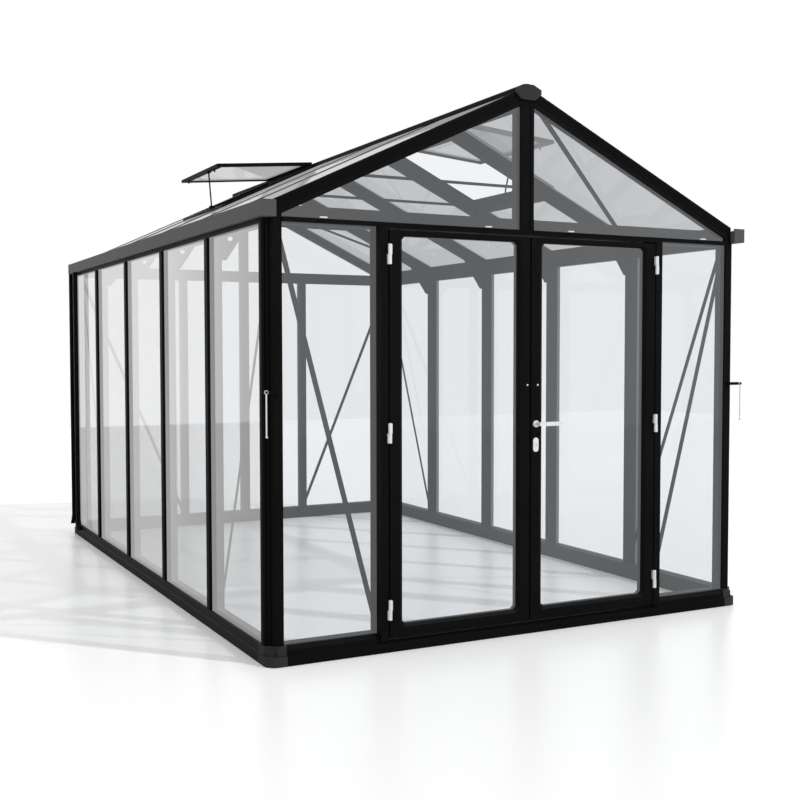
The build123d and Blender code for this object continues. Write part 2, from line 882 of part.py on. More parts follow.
# Gusset plates between the wall bars and the rafters
with BuildPart() as eave_gussets:
    inner = wall_inner_x - seat_gap
    under = frame_depth + seat_gap
    plate = [
        (inner, gusset_low),
        (inner - gusset_nose, gusset_low),
        (gusset_reach_x, roof_z(gusset_reach_x, under)),
        (inner, roof_z(inner, under)),
    ]
    for side in (-1, 1):
        for y in bar_positions:
            run_y(flip(side, plate), y - gusset_thickness / 2, y + gusset_thickness / 2)
            disc(
                (side * gusset_hole_x, y + gusset_thickness, gusset_hole_z),
                (0, -1, 0),
                gusset_hole_radius,
                gusset_thickness * 2,
                Mode.SUBTRACT,
            )
save(eave_gussets, "eave_gussets")


# Glass in the walls
def side_glass(side):
    """Five tall panes in one side wall."""
    x0 = side * (wall_x - glass_near)
    x1 = side * (wall_x - glass_far)
    end_gap = post_side_reach - post_slot + glass_side_gap
    top = wall_strip_bottom + cap_thickness - glass_side_gap
    for i in range(side_bays):
        y0 = bar_lines[i] + (end_gap if i == 0 else glass_edge)
        y1 = bar_lines[i + 1] - (end_gap if i == side_bays - 1 else glass_edge)
        run_x(rectangle(y0, y1, glass_low, top), x0, x1)


with BuildPart() as left_wall_glass:
    side_glass(-1)
save(left_wall_glass, "left_wall_glass")

with BuildPart() as right_wall_glass:
    side_glass(1)
save(right_wall_glass, "right_wall_glass")


def gable_glass(end, centre):
    """Two panes over the tie beam, cut to the slope."""
    side_x = post_inner_x - glass_side_gap
    sink = barge_depth - barge_slot + glass_side_gap
    low = tie_neck_high + glass_side_gap
    high = ridge_low - glass_side_gap
    high_x = (roof_apex - sink / cos(slope) - high) / rise
    for side in (-1, 1):
        pane = [
            (centre, low),
            (side_x, low),
            (side_x, roof_z(side_x, sink)),
            (high_x, high),
            (centre, high),
        ]
        run_y(flip(side, pane), end_y(end, glass_far), end_y(end, glass_near))


with BuildPart() as front_glass:
    top = tie_neck_low - glass_side_gap
    for side in (-1, 1):
        pane = rectangle(
            jamb_outer_x - jamb_slot + glass_side_gap,
            post_inner_x + post_slot - glass_side_gap,
            glass_low,
            top,
        )
        run_y(flip(side, pane), end_y(-1, glass_far), end_y(-1, glass_near))
    gable_glass(-1, glass_edge)
save(front_glass, "front_glass")

with BuildPart() as rear_glass:
    top = tie_neck_low - glass_side_gap
    for side in (-1, 1):
        for x0, x1 in (
            (glass_edge, rear_mullion_offset - glass_edge),
            (rear_mullion_offset + glass_edge, post_inner_x + post_slot - glass_side_gap),
        ):
            run_y(flip(side, rectangle(x0, x1, glass_low, top)), end_y(1, glass_far), end_y(1, glass_near))
    gable_glass(1, glass_edge)
save(rear_glass, "rear_glass")


# Glass in the roof
def roof_glass(side, vent_bay):
    """Five sloping panes; the pane in the vent's bay stops at the vent's sill."""
    end_gap = barge_width - post_slot + glass_side_gap
    for i in range(side_bays):
        y0 = bar_lines[i] + (end_gap if i == 0 else glass_edge)
        y1 = bar_lines[i + 1] - (end_gap if i == side_bays - 1 else glass_edge)
        x0 = ridge_web_half + glass_side_gap
        if i + 1 == vent_bay:
            x0 = vent_sill_x + vent_sill_width - post_slot + glass_side_gap
        run_y(slope_band(side, x0, roof_edge_x - glass_side_gap, roof_glass_near, roof_glass_far), y0, y1)


with BuildPart() as left_roof_glass:
    roof_glass(-1, left_vent_bay)
save(left_roof_glass, "left_roof_glass")

with BuildPart() as right_roof_glass:
    roof_glass(1, right_vent_bay)
save(right_roof_glass, "right_roof_glass")


# Roof vents
def sash_points(side, u0, u1, w0, w1):
    """Outline in X and Z of a slice of the raised sash: along it from its hinge, and below its top."""
    corners = []
    for u, w in ((u0, w0), (u1, w0), (u1, w1), (u0, w1)):
        x = sash_hinge_x + u * cos(fall) - w * sin(fall)
        z = sash_hinge_z - u * sin(fall) - w * cos(fall)
        corners.append((side * x, z))
    return corners


def sash_under(x):
    """Height of the raised sash's underside."""
    return sash_hinge_z - (x - sash_hinge_x) * tan(fall) - sash_thickness / cos(fall)


def vent_bounds(bay_number):
    """Centres of the rafters beside a vent."""
    return bar_lines[bay_number - 1], bar_lines[bay_number]


def vent_curb(side, bay_number):
    """Upstand ring on the rafters with a head bar under the ridge and a sill bar below."""
    y0, y1 = vent_bounds(bay_number)
    sill_end = vent_sill_x + vent_sill_width
    half = curb_width / 2
    clear = bar_width / 2 + seat_gap
    for y in (y0, y1):
        run_y(slope_band(side, vent_head_inner_x, sill_end, -curb_height, -seat_gap), y - half, y + half)
    for x0, x1 in ((vent_head_inner_x, vent_head_x), (sill_end - curb_width, sill_end)):
        run_y(slope_band(side, x0, x1, -curb_height, -seat_gap), y0, y1)
    head = slope_band(side, ridge_web_half + seat_gap, vent_head_x, 0, box_depth)
    run_y(head, y0 + clear, y1 - clear)
    run_y(slope_band(side, vent_head_inner_x, vent_head_x, -seat_gap, 0), y0 + clear, y1 - clear)
    upper = slope_band(side, vent_sill_x, sill_end, -seat_gap, roof_cap_thickness)
    run_y(upper, y0 + clear, y1 - clear)
    neck = slope_band(side, vent_sill_x, sill_end - post_slot, roof_cap_thickness, roof_box_start)
    run_y(neck, y0 + clear, y1 - clear)
    run_y(slope_band(side, vent_sill_x, sill_end, roof_box_start, box_depth), y0 + clear, y1 - clear)
    strip = [
        (sash_hinge_x + seat_gap, roof_z(sash_hinge_x, -curb_height + 1)),
        (vent_head_x, roof_z(vent_head_x, -curb_height + 1)),
        (vent_head_x, sash_under(vent_head_x) - seat_gap),
        (sash_hinge_x + seat_gap, sash_under(sash_hinge_x) - seat_gap),
    ]
    run_y(flip(side, strip), y0 - half, y1 + half)


def vent_sash(side, bay_number):
    """Raised frame with an inner groove for its glass and two stop pins."""
    y0, y1 = vent_bounds(bay_number)
    y0 = y0 + sash_inset
    y1 = y1 - sash_inset
    far = sash_length - sash_member
    run_y(sash_points(side, 0, sash_length, 0, sash_thickness), y0, y1)
    opening = sash_points(side, sash_member, far, -1, sash_thickness + 1)
    run_y(opening, y0 + sash_member, y1 - sash_member, Mode.SUBTRACT)
    seat = sash_glass_seat + glass_side_gap
    low = (sash_thickness - glass_thickness) / 2 - seat_gap
    high = low + glass_thickness + seat_gap * 2
    groove = sash_points(side, sash_member - seat, far + seat, low, high)
    run_y(groove, y0 + sash_member - seat, y1 - sash_member + seat, Mode.SUBTRACT)
    middle = (y0 + y1) / 2
    pin_x = side * (sash_hinge_x + (sash_length - sash_member / 2) * cos(fall))
    pin_z = sash_under(abs(pin_x))
    for shift in (-stop_pin_offset, stop_pin_offset):
        disc((pin_x, middle + shift, pin_z + 1), (0, 0, -1), stop_pin_radius, stop_pin_length)


def sash_glass(side, bay_number):
    """The vent's pane, held in the sash's groove."""
    y0, y1 = vent_bounds(bay_number)
    inset = sash_member - sash_glass_seat
    low = (sash_thickness - glass_thickness) / 2
    pane = sash_points(side, inset, sash_length - inset, low, low + glass_thickness)
    run_y(pane, y0 + sash_inset + inset, y1 - sash_inset - inset)


def vent_stay(side, bay_number):
    """Rod from the sash's free edge: on the left to a foot on the sill, on the right past the sill."""
    y0, y1 = vent_bounds(bay_number)
    y = (y0 + y1) / 2 + (left_stay_shift if side < 0 else 0)
    top = Vector(side * stay_sash_x, y, sash_under(stay_sash_x) - seat_gap)
    along = (stay_sash_x - sash_hinge_x) / cos(fall)
    seat = sash_thickness + seat_gap
    bracket = sash_points(
        side, along - stay_bracket_half, along + stay_bracket_half, seat, seat + stay_bracket_height
    )
    run_y(bracket, y - stay_bracket_half, y + stay_bracket_half)
    if side > 0:
        bend_x = vent_sill_x - stay_radius * 2
        bend = Vector(bend_x, y, roof_z(bend_x, -curb_height) + stay_radius * 2)
        disc(bend, top - bend, stay_radius, (top - bend).length - stay_radius)
        end = Vector(bend_x - right_stay_lean, y, bend.Z - right_stay_drop)
        disc(end, bend - end, stay_radius, (bend - end).length + stay_radius)
        return
    foot_x = vent_sill_x + vent_sill_width / 2
    foot = Vector(side * foot_x, y, roof_z(foot_x, -curb_height) + stay_foot_rise)
    way = top - foot
    disc(foot, way, stay_radius, way.length - stay_radius)
    block = [
        (foot_x - stay_foot_rise, roof_z(foot_x - stay_foot_rise, -curb_height - seat_gap)),
        (foot_x + stay_foot_rise, roof_z(foot_x + stay_foot_rise, -curb_height - seat_gap)),
        (foot_x + stay_foot_rise, foot.Z + stay_radius),
        (foot_x - stay_foot_rise, foot.Z + stay_radius),
    ]
    run_y(flip(side, block), y - stay_foot_rise, y + stay_foot_rise)


vents = ((-1, left_vent_bay), (1, right_vent_bay))

with BuildPart() as vent_curbs:
    for side, bay_number in vents:
        vent_curb(side, bay_number)
save(vent_curbs, "vent_curbs")

with BuildPart() as left_vent_sash:
    vent_sash(-1, left_vent_bay)
save(left_vent_sash, "left_vent_sash")

with BuildPart() as right_vent_sash:
    vent_sash(1, right_vent_bay)
save(right_vent_sash, "right_vent_sash")

with BuildPart() as vent_glass:
    for side, bay_number in vents:
        sash_glass(side, bay_number)
save(vent_glass, "vent_glass")

with BuildPart() as vent_stays:
    for side, bay_number in vents:
        vent_stay(side, bay_number)
save(vent_stays, "vent_stays")


# Double doors
def leaf_outline(side, inset_side, inset_top, inset_bottom, corner):
    """Outline of a leaf or of its opening, with cut corners."""
    x0 = leaf_inner_x + inset_side
    x1 = leaf_outer_x - inset_side
    z0 = leaf_bottom + inset_bottom
    z1 = leaf_top - inset_top
    if corner == 0:
        return flip(side, rectangle(x0, x1, z0, z1))
    return flip(side, [
        (x0 + corner, z0),
        (x1 - corner, z0),
        (x1, z0 + corner),
        (x1, z1 - corner),
        (x1 - corner, z1),
        (x0 + corner, z1),
        (x0, z1 - corner),
        (x0, z0 + corner),
    ])


def door_leaf(side):
    """Leaf frame with sloped glazing beads, cut corners in its opening and a glass groove."""
    run_y(leaf_outline(side, 0, 0, 0, 0), leaf_front_y, leaf_back_y)
    beads = (stile_width + bead_width, top_rail_height, bottom_rail_height + bead_width)
    opening = leaf_outline(side, *beads, leaf_corner_gusset)
    edges = (stile_width, top_rail_height - bead_width / 2, bottom_rail_height)
    wide = leaf_outline(side, *edges, leaf_corner_gusset)
    run_y(opening, leaf_front_y - 1, leaf_back_y + 1, Mode.SUBTRACT)
    with BuildSketch(Plane.XZ.offset(-leaf_front_y)) as outer:
        with BuildLine():
            Polyline(*wide, close=True)
        make_face()
    with BuildSketch(Plane.XZ.offset(-leaf_front_y - bead_drop)) as inner:
        with BuildLine():
            Polyline(*opening, close=True)
        make_face()
    loft([outer.sketch.face(), inner.sketch.face()], mode=Mode.SUBTRACT)
    seat = leaf_glass_seat + glass_side_gap
    middle = (leaf_front_y + leaf_back_y) / 2
    groove = leaf_outline(side, beads[0] - seat, beads[1] - seat, beads[2] - seat, leaf_corner_gusset)
    reach = glass_thickness / 2 + seat_gap
    run_y(groove, middle - reach, middle + reach, Mode.SUBTRACT)


def door_glass(side):
    """One pane in a leaf."""
    middle = (leaf_front_y + leaf_back_y) / 2
    seat = leaf_glass_seat
    pane = leaf_outline(
        side,
        stile_width + bead_width - seat,
        top_rail_height - seat,
        bottom_rail_height + bead_width - seat,
        leaf_corner_gusset,
    )
    run_y(pane, middle - glass_thickness / 2, middle + glass_thickness / 2)


with BuildPart() as left_door_frame:
    door_leaf(-1)
save(left_door_frame, "left_door_frame")

with BuildPart() as right_door_frame:
    door_leaf(1)
save(right_door_frame, "right_door_frame")

with BuildPart() as left_door_glass:
    door_glass(-1)
save(left_door_glass, "left_door_glass")

with BuildPart() as right_door_glass:
    door_glass(1)
save(right_door_glass, "right_door_glass")

# Door hinges: pins and lower knuckles on the jambs, upper knuckles on the leaves
hinge_foot_y = hinge_y - hinge_radius / 3
with BuildPart() as jamb_hinges:
    for side in (-1, 1):
        for z in hinge_heights:
            low = z - hinge_length / 2
            half = hinge_length / 2 - hinge_knuckle_gap / 2
            foot = rectangle(hinge_x, hinge_x + hinge_foot_width, hinge_foot_y, leaf_front_y - seat_gap)
            run_z(flip(side, foot), low, low + half)
            disc((side * hinge_x, hinge_y, low), (0, 0, 1), hinge_radius, half)
            disc((side * hinge_x, hinge_y, low), (0, 0, 1), hinge_pin_radius, hinge_length - hinge_radius)
save(jamb_hinges, "jamb_hinges")


def leaf_hinges(side):
    """Upper knuckles, bored for the pins, with feet on the leaf."""
    for z in hinge_heights:
        low = z + hinge_knuckle_gap / 2
        half = hinge_length / 2 - hinge_knuckle_gap / 2
        foot = rectangle(hinge_x - hinge_foot_width, hinge_x, hinge_foot_y, leaf_front_y - seat_gap)
        run_z(flip(side, foot), low, low + half)
        disc((side * hinge_x, hinge_y, low), (0, 0, 1), hinge_radius, half)
        disc(
            (side * hinge_x, hinge_y, low - 1),
            (0, 0, 1),
            hinge_pin_radius + hinge_pin_gap,
            half - hinge_radius / 2,
            Mode.SUBTRACT,
        )


with BuildPart() as left_door_hinges:
    leaf_hinges(-1)
save(left_door_hinges, "left_door_hinges")

with BuildPart() as right_door_hinges:
    leaf_hinges(1)
save(right_door_hinges, "right_door_hinges")

# Handle rose and lock plate on the right leaf
with BuildPart() as handle_plates:
    plate_y = leaf_front_y - seat_gap
    disc((handle_x, plate_y, handle_height), (0, -1, 0), rose_radius, rose_thickness)
    disc(
        (handle_x, plate_y + 1, handle_height),
        (0, -1, 0),
        spindle_radius + spindle_gap,
        rose_thickness + 2,
        Mode.SUBTRACT,
    )
    with BuildSketch(Plane.XZ.offset(-plate_y)) as lock_plate:
        with Locations((handle_x, lock_height)):
            SlotOverall(lock_tall, lock_width, rotation=90)
    extrude(lock_plate.sketch, amount=rose_thickness / 2)
    disc((handle_x, plate_y + 1, lock_height), (0, -1, 0), keyhole_radius, rose_thickness * 2, Mode.SUBTRACT)
save(handle_plates, "handle_plates")

# Lever handle
with BuildPart() as lever_handle:
    spindle_y = leaf_front_y - seat_gap
    disc((handle_x, spindle_y, handle_height), (0, -1, 0), spindle_radius, lever_stand_off)
    arm_y = leaf_front_y - lever_stand_off
    with BuildSketch(Plane.XZ.offset(-arm_y)) as arm:
        with Locations((handle_x + (lever_length - spindle_radius) / 2, handle_height)):
            SlotOverall(lever_length + spindle_radius, lever_height)
    extrude(arm.sketch, amount=-lever_thickness)
save(lever_handle, "lever_handle")


# Hold-open hooks on the front posts
def hook(side):
    """Ring, rod and bent tip."""
    x = side * hook_x
    start = front - hook_eye_thickness / 2
    disc((x, start, hook_height), (0, 1, 0), hook_eye_radius, hook_eye_thickness)
    tip = hook_height - hook_length
    rod_top = hook_height - hook_eye_radius / 2
    disc((x, front, rod_top), (0, 0, -1), hook_rod_radius, rod_top - tip)
    disc((x, front + hook_tip_start, tip), (0, -1, 0), hook_tip_radius, hook_bend)
    bore = hook_pin_radius + hook_pin_gap
    disc((x, start - 1, hook_height), (0, 1, 0), bore, hook_eye_thickness + 2, Mode.SUBTRACT)


with BuildPart() as left_hook:
    hook(-1)
save(left_hook, "left_hook")

with BuildPart() as right_hook:
    hook(1)
save(right_hook, "right_hook")

with BuildPart() as hook_brackets:
    eye_back = front + hook_eye_thickness / 2
    plate_y = eye_back + hook_eye_gap
    half = bracket_height / 2
    head_start = front - hook_eye_thickness / 2 - hook_eye_gap
    for side in (-1, 1):
        far_x = hook_x + hook_eye_radius
        plate = rectangle(bracket_foot_x, far_x, plate_y, plate_y + bracket_thickness)
        run_z(flip(side, plate), hook_height - half, hook_height + half)
        foot = rectangle(bracket_foot_x, bracket_foot_x + bracket_foot_width, plate_y, front_y - seat_gap)
        run_z(flip(side, foot), hook_height - half, hook_height + half)
        pin_length = plate_y - head_start
        disc((side * hook_x, plate_y, hook_height), (0, -1, 0), hook_pin_radius, pin_length)
        disc((side * hook_x, head_start, hook_height), (0, -1, 0), hook_head_radius, hook_head_thickness)
save(hook_brackets, "hook_brackets")
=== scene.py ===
import json
import logging
import math
from dataclasses import dataclass
from enum import Enum
from typing import Iterable, Sequence

import bmesh
import bpy
from mathutils import Matrix, Vector


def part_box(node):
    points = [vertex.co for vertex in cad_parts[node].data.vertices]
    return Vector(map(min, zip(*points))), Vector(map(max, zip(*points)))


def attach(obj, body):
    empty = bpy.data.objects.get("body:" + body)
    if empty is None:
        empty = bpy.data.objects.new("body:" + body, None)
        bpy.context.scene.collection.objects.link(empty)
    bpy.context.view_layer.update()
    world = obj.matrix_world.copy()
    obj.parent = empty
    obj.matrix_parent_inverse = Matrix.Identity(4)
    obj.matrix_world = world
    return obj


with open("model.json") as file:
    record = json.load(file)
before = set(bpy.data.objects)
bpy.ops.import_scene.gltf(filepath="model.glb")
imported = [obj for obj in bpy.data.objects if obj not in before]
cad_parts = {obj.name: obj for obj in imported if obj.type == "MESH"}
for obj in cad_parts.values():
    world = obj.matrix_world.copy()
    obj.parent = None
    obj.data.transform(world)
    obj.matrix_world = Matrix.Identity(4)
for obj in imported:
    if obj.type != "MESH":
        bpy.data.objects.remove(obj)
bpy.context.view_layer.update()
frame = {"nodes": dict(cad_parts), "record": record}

log = logging.getLogger("greenhouse")

Colour = tuple[float, float, float]
Point = tuple[float, float, float]

HOUSE = "house"
LEFT_LEAF = "left_leaf"
RIGHT_LEAF = "right_leaf"

OPAQUE = 1.0
WHITE = (1.0, 1.0, 1.0, OPAQUE)
NOISE_LOW = 0.3
NOISE_HIGH = 0.7


class Slot(Enum):
    """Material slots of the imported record."""

    FRAME = "black_frame"
    TRIM = "grey_trim"
    GLASS = "clear_glass"
    FITTINGS = "bright_fittings"


class Side(Enum):
    """Side of the house, as a sign along X."""

    LEFT = -1
    RIGHT = 1


class NodeTree:
    """Small helper that builds one material's node tree."""

    def __init__(self, name: str) -> None:
        """Start an empty node material.

        Args:
            name: Name of the material.
        """
        self.material = bpy.data.materials.new(name)
        self.material.use_nodes = True
        self.tree = self.material.node_tree
        self.tree.nodes.clear()
        self.output = self.tree.nodes.new("ShaderNodeOutputMaterial")
        self.coordinates = self.tree.nodes.new("ShaderNodeTexCoord")

    def add(self, kind: str, **values: object) -> bpy.types.Node:
        """Add a node and set its inputs by name.

        Args:
            kind: Blender's node type.
            values: Input values, with underscores for spaces.

        Returns:
            The new node.
        """
        node = self.tree.nodes.new(kind)
        for key, value in values.items():
            node.inputs[key.replace("_", " ")].default_value = value
        return node

    def link(self, source: bpy.types.NodeSocket, target: bpy.types.NodeSocket) -> None:
        """Join two sockets.

        Args:
            source: Output socket.
            target: Input socket.
        """
        self.tree.links.new(source, target)

    def mix(
        self,
        share: bpy.types.NodeSocket | float,
        first: bpy.types.NodeSocket,
        second: bpy.types.NodeSocket,
    ) -> bpy.types.NodeSocket:
        """Mix two shaders.

        Args:
            share: Share of the second shader, as a socket or a number.
            first: First shader's socket.
            second: Second shader's socket.

        Returns:
            The mixed shader's socket.
        """
        node = self.tree.nodes.new("ShaderNodeMixShader")
        if isinstance(share, float):
            node.inputs["Fac"].default_value = share
        else:
            self.link(share, node.inputs["Fac"])
        self.link(first, node.inputs[1])
        self.link(second, node.inputs[2])
        return node.outputs["Shader"]

    def surface(self, shader: bpy.types.NodeSocket) -> bpy.types.Material:
        """Give the material its shader.

        Args:
            shader: Socket of the finished shader.

        Returns:
            The material.
        """
        self.link(shader, self.output.inputs["Surface"])
        return self.material

    def math(self, operation: str, source: bpy.types.NodeSocket, value: float) -> bpy.types.NodeSocket:
        """Work on a number.

        Args:
            operation: Blender's name of the operation.
            source: First number's socket.
            value: Second number.

        Returns:
            The result's socket.
        """
        node = self.tree.nodes.new("ShaderNodeMath")
        node.operation = operation
        node.inputs[1].default_value = value
        self.link(source, node.inputs[0])
        return node.outputs["Value"]

    def noise(self, scale: float, detail: float, stretch: Point = (1.0, 1.0, 1.0)) -> bpy.types.NodeSocket:
        """Noise on the object's own coordinates.

        Args:
            scale: Size of the pattern.
            detail: Layers of finer noise.
            stretch: Scale of each axis before the noise.

        Returns:
            The noise's factor socket.
        """
        mapping = self.add("ShaderNodeMapping", Scale=stretch)
        self.link(self.coordinates.outputs["Object"], mapping.inputs["Vector"])
        texture = self.add("ShaderNodeTexNoise", Scale=scale, Detail=detail)
        self.link(mapping.outputs["Vector"], texture.inputs["Vector"])
        return texture.outputs["Fac"]

    def ramp(self, source: bpy.types.NodeSocket, low: Colour, high: Colour) -> bpy.types.NodeSocket:
        """Colour between two ends by a factor.

        Args:
            source: Factor socket.
            low: Colour at the low end.
            high: Colour at the high end.

        Returns:
            The colour socket.
        """
        node = self.add("ShaderNodeValToRGB")
        node.color_ramp.elements[0].position = NOISE_LOW
        node.color_ramp.elements[0].color = (*low, OPAQUE)
        node.color_ramp.elements[1].position = NOISE_HIGH
        node.color_ramp.elements[1].color = (*high, OPAQUE)
        self.link(source, node.inputs["Fac"])
        return node.outputs["Color"]

    def spread(self, source: bpy.types.NodeSocket, low: float, high: float) -> bpy.types.NodeSocket:
        """Number between two ends by a factor.

        Args:
            source: Factor socket.
            low: Value at the low end.
            high: Value at the high end.

        Returns:
            The value socket.
        """
        node = self.add(
            "ShaderNodeMapRange",
            From_Min=NOISE_LOW,
            From_Max=NOISE_HIGH,
            To_Min=low,
            To_Max=high,
        )
        self.link(source, node.inputs["Value"])
        return node.outputs["Result"]

    def bump(self, source: bpy.types.NodeSocket, distance: float, strength: float) -> bpy.types.NodeSocket:
        """Fine relief from a height.

        Args:
            source: Height socket.
            distance: Depth of the relief in metres.
            strength: How much of it shows.

        Returns:
            The normal socket.
        """
        node = self.add("ShaderNodeBump", Strength=strength, Distance=distance)
        self.link(source, node.inputs["Height"])
        return node.outputs["Normal"]


@dataclass(frozen=True)
class PowderCoat:
    """Matt or satin powder paint with a fine grain."""

    name: str
    colour: Colour
    dust: Colour
    roughness: float = 0.48
    specular: float = 0.04
    roughness_drop: float = 0.04
    roughness_rise: float = 0.06
    grain_scale: float = 900.0
    grain_detail: float = 1.0
    grain_depth: float = 0.0002
    grain_strength: float = 0.25
    patch_scale: float = 2.2
    patch_detail: float = 3.0

    def build(self) -> bpy.types.Material:
        """Build the paint.

        Returns:
            The material.
        """
        tree = NodeTree(self.name)
        shader = tree.add("ShaderNodeBsdfPrincipled")
        shader.inputs["Specular IOR Level"].default_value = self.specular
        patches = tree.noise(self.patch_scale, self.patch_detail)
        grain = tree.noise(self.grain_scale, self.grain_detail)
        matt = tree.spread(
            patches,
            self.roughness - self.roughness_drop,
            self.roughness + self.roughness_rise,
        )
        tree.link(tree.ramp(patches, self.colour, self.dust), shader.inputs["Base Color"])
        tree.link(matt, shader.inputs["Roughness"])
        tree.link(tree.bump(grain, self.grain_depth, self.grain_strength), shader.inputs["Normal"])
        return tree.surface(shader.outputs["BSDF"])


@dataclass(frozen=True)
class BrightMetal:
    """Brushed silver-coloured metal of the hinges, handle and hooks."""

    name: str
    colour: Colour
    shade: float = 0.93
    roughness: float = 0.34
    roughness_drop: float = 0.05
    roughness_rise: float = 0.08
    metallic: float = 0.3
    brush_scale: float = 120.0
    brush_detail: float = 4.0
    brush_stretch: Point = (1.0, 1.0, 14.0)
    brush_depth: float = 0.0001
    brush_strength: float = 0.2

    def build(self) -> bpy.types.Material:
        """Build the metal.

        Returns:
            The material.
        """
        tree = NodeTree(self.name)
        shader = tree.add("ShaderNodeBsdfPrincipled", Metallic=self.metallic)
        brushed = tree.noise(self.brush_scale, self.brush_detail, self.brush_stretch)
        darker = tuple(channel * self.shade for channel in self.colour)
        satin = tree.spread(
            brushed,
            self.roughness - self.roughness_drop,
            self.roughness + self.roughness_rise,
        )
        tree.link(tree.ramp(brushed, darker, self.colour), shader.inputs["Base Color"])
        tree.link(satin, shader.inputs["Roughness"])
        tree.link(tree.bump(brushed, self.brush_depth, self.brush_strength), shader.inputs["Normal"])
        return tree.surface(shader.outputs["BSDF"])


@dataclass(frozen=True)
class Pane:
    """Clear sheet glass: it tints what is behind it and mirrors its surroundings, under a painted glow (an
    emission veil and sheen) that brightens it.
    """

    name: str
    tint: Colour
    tint_deep: Colour
    # Painted glow: an emission veil that brightens the pane, thicker and thinner along the streaks.
    painted_veil: Colour = (0.8, 0.83, 0.86)
    painted_veil_share: float = 0.05
    painted_veil_thinnest: float = 0.85
    painted_veil_thickest: float = 1.15
    streak_scale: float = 0.9
    streak_detail: float = 2.0
    streak_stretch: Point = (1.0, 1.0, 0.35)
    ior: float = 1.52
    mirror_gain: float = 6.7
    mirror_power: float = 1.55
    mirror_limit: float = 0.8
    # Painted sheen: a white emission mixed into the mirror, glowing like a reflection.
    painted_sheen_share: float = 0.45
    painted_sheen_strength: float = 0.9
    roughness: float = 0.03

    def build(self) -> bpy.types.Material:
        """Build the glass.

        Returns:
            The material.
        """
        tree = NodeTree(self.name)
        return tree.surface(tree.mix(self.mirror_share(tree), self.tint_and_painted_veil(tree), self.mirror(tree)))

    def tint_and_painted_veil(self, tree: NodeTree) -> bpy.types.NodeSocket:
        """Tint what is behind the pane and lay a faint painted glow over it, an emission veil that
        brightens the pane.

        Args:
            tree: The material's node tree.

        Returns:
            The shader's socket.
        """
        streaks = tree.noise(self.streak_scale, self.streak_detail, self.streak_stretch)
        clear = tree.add("ShaderNodeBsdfTransparent")
        tree.link(tree.ramp(streaks, self.tint_deep, self.tint), clear.inputs["Color"])
        # Painted glow: the pane emits this veil colour by itself.
        painted_glow = tree.add("ShaderNodeEmission", Color=(*self.painted_veil, OPAQUE))
        thinnest = self.painted_veil_share * self.painted_veil_thinnest
        thickest = self.painted_veil_share * self.painted_veil_thickest
        share = tree.spread(streaks, thinnest, thickest)
        return tree.mix(share, clear.outputs["BSDF"], painted_glow.outputs["Emission"])

    def mirror(self, tree: NodeTree) -> bpy.types.NodeSocket:
        """Mirror the surroundings, softened by a painted white sheen: an emission that glows like a
        reflection.

        Args:
            tree: The material's node tree.

        Returns:
            The shader's socket.
        """
        mirror = tree.add("ShaderNodeBsdfGlossy", Roughness=self.roughness)
        # Painted sheen: the glass glows white here by itself.
        painted_sheen = tree.add("ShaderNodeEmission", Strength=self.painted_sheen_strength)
        return tree.mix(self.painted_sheen_share, mirror.outputs["BSDF"], painted_sheen.outputs["Emission"])

    def mirror_share(self, tree: NodeTree) -> bpy.types.NodeSocket:
        """Let the outer face mirror more at a low angle, and the inner face not at all.

        Args:
            tree: The material's node tree.

        Returns:
            The socket of the mirror's share.
        """
        fresnel = tree.add("ShaderNodeFresnel", IOR=self.ior)
        side = tree.add("ShaderNodeNewGeometry")
        outer_only = tree.add("ShaderNodeMath")
        outer_only.operation = "SUBTRACT"
        outer_only.use_clamp = True
        tree.link(fresnel.outputs["Fac"], outer_only.inputs[0])
        tree.link(side.outputs["Backfacing"], outer_only.inputs[1])
        curved = tree.math("POWER", outer_only.outputs["Value"], self.mirror_power)
        gained = tree.math("MULTIPLY", curved, self.mirror_gain)
        return tree.math("MINIMUM", gained, self.mirror_limit)


@dataclass(frozen=True)
class Plastic:
    """Moulded plastic or rubber with a faint mottle."""

    name: str
    colour: Colour
    shade: float = 0.92
    roughness: float = 0.5
    roughness_spread: float = 0.04
    mottle_scale: float = 260.0
    mottle_detail: float = 2.0

    def build(self) -> bpy.types.Material:
        """Build the plastic.

        Returns:
            The material.
        """
        tree = NodeTree(self.name)
        shader = tree.add("ShaderNodeBsdfPrincipled")
        mottle = tree.noise(self.mottle_scale, self.mottle_detail)
        darker = tuple(channel * self.shade for channel in self.colour)
        satin = tree.spread(
            mottle,
            self.roughness - self.roughness_spread,
            self.roughness + self.roughness_spread,
        )
        tree.link(tree.ramp(mottle, darker, self.colour), shader.inputs["Base Color"])
        tree.link(satin, shader.inputs["Roughness"])
        return tree.surface(shader.outputs["BSDF"])


